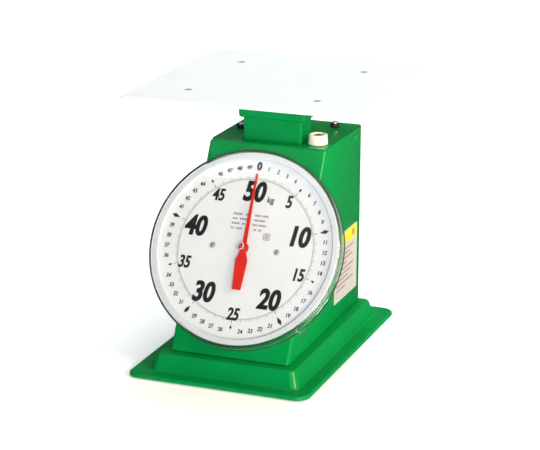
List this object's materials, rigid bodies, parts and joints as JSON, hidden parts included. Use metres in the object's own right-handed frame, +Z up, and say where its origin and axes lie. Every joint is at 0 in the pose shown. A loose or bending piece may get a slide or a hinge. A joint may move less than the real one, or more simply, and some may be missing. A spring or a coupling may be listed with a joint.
{
  "type": "mechanical dial platform scale",
  "caption": "Table weighing scale with a sloping front, a large round dial under a clear domed cover, a flat load plate on a short neck and a zero knob.",
  "frame": {"origin": "on the surface the scale stands on, under the middle of its outline", "axes": "+Z up, towards the load plate; -Y towards the dial; +X to the right as the dial is read"},
  "size_m": [0.27, 0.3325, 0.3084],
  "materials": {
    "green_paint": "glossy baked enamel, slightly orange-peeled",
    "white_plate": "smooth semi-gloss white coating",
    "dial_white": "satin white with printed black graduations",
    "ring_white": "satin white plastic",
    "clear_plastic": "clear moulded plastic, polished",
    "dark_seal": "dark soft seal",
    "pointer_red": "satin red enamel",
    "cream_plastic": "smooth moulded cream plastic",
    "black_rubber": "matt black rubber",
    "label_film": "plain printed film with a yellow band, no wording",
    "bright_screw": "bright plated, cross recess",
    "steel": "turned and milled steel",
    "spring_steel": "drawn spring wire, lightly oiled",
    "zinc_steel": "zinc-plated sheet",
    "brass": "satin brass"
  },
  "bodies": {
    "frame": {"base_pan": "green_paint", "bottom_plate": "zinc_steel", "rubber_foot_1": "black_rubber", "rubber_foot_2": "black_rubber", "rubber_foot_3": "black_rubber", "rubber_foot_4": "black_rubber", "side_panel_left": "green_paint", "side_panel_right": "green_paint", "front_panel": "green_paint", "top_panel": "green_paint", "back_cover": "green_paint", "side_label": "label_film", "top_screw_washer_1": "black_rubber", "top_screw_1": "bright_screw", "top_screw_washer_2": "black_rubber", "top_screw_2": "bright_screw", "chassis_channel": "zinc_steel", "spring_bridge_left": "zinc_steel", "spring_bridge_right": "zinc_steel", "upper_chassis_pin": "steel", "lower_chassis_pin": "steel", "eye_bolt": "steel", "spring_left": "spring_steel", "spring_right": "spring_steel", "dashpot_cylinder": "brass", "dashpot_lid": "brass", "movement_front_plate": "brass", "movement_bridge": "brass", "front_bush": "brass", "rear_bush": "brass", "dial_drum": "green_paint", "dial_plate": "dial_white", "dial_screw_1": "bright_screw", "dial_screw_2": "bright_screw", "dial_ring": "ring_white", "cover_seal": "dark_seal", "clear_cover": "clear_plastic", "cover_clip": "clear_plastic"},
    "platform": {"load_plate": "white_plate", "plate_screw_1": "bright_screw", "plate_screw_2": "bright_screw", "plate_screw_3": "bright_screw", "plate_screw_4": "bright_screw", "platform_spider": "zinc_steel", "neck_cap": "green_paint", "neck_post": "green_paint", "moving_frame": "zinc_steel", "upper_frame_pin": "steel", "lower_frame_pin": "steel", "spring_beam": "zinc_steel", "rack": "steel", "rack_arm": "steel", "dashpot_piston": "steel"},
    "pointer": {"pinion_shaft": "steel", "pointer": "pointer_red", "pointer_hub": "pointer_red"},
    "upper_link": {"upper_link": "steel"},
    "lower_link": {"lower_link": "steel"},
    "zero_knob": {"zero_knob": "cream_plastic"},
    "spring_hanger": {"spring_hanger": "steel"}
  },
  "joints": [
    {"name": "platform_drop", "type": "slide", "parent": "frame", "child": "platform", "axis": [0, 0, -1], "range_m": [0, 0.024], "stiffness_N_per_m": 20440, "springref_m": -0.0017, "deforming": ["spring_left", "spring_right"]},
    {"name": "pointer_turn", "type": "hinge", "parent": "frame", "child": "pointer", "pos_m": [0, -0.06467, 0.131], "axis": [0, 0.8783, -0.4781], "range_deg": [0, 361]},
    {"name": "upper_link_swing", "type": "hinge", "parent": "frame", "child": "upper_link", "pos_m": [0, 0.0952, 0.185], "axis": [1, 0, 0], "range_deg": [0, 20.1]},
    {"name": "lower_link_swing", "type": "hinge", "parent": "frame", "child": "lower_link", "pos_m": [0, 0.0952, 0.09], "axis": [1, 0, 0], "range_deg": [0, 20.1]},
    {"name": "zero_knob_turn", "type": "hinge", "parent": "frame", "child": "zero_knob", "pos_m": [0.0533, 0.018, 0.2467], "axis": [0, 0, 1], "range_deg": [-360, 360]},
    {"name": "spring_hanger_lift", "type": "slide", "parent": "frame", "child": "spring_hanger", "axis": [0, 0, 1], "range_m": [-0.0011, 0.0011]}
  ],
  "couplings": [
    {"joint": "pointer_turn", "follows": "platform_drop", "rad_per_m": 261.8},
    {"joint": "upper_link_swing", "follows": "platform_drop", "rad_per_m": 14.556},
    {"joint": "lower_link_swing", "follows": "platform_drop", "rad_per_m": 14.556},
    {"joint": "spring_hanger_lift", "follows": "zero_knob_turn", "m_per_rad": 0.00015915}
  ]
}
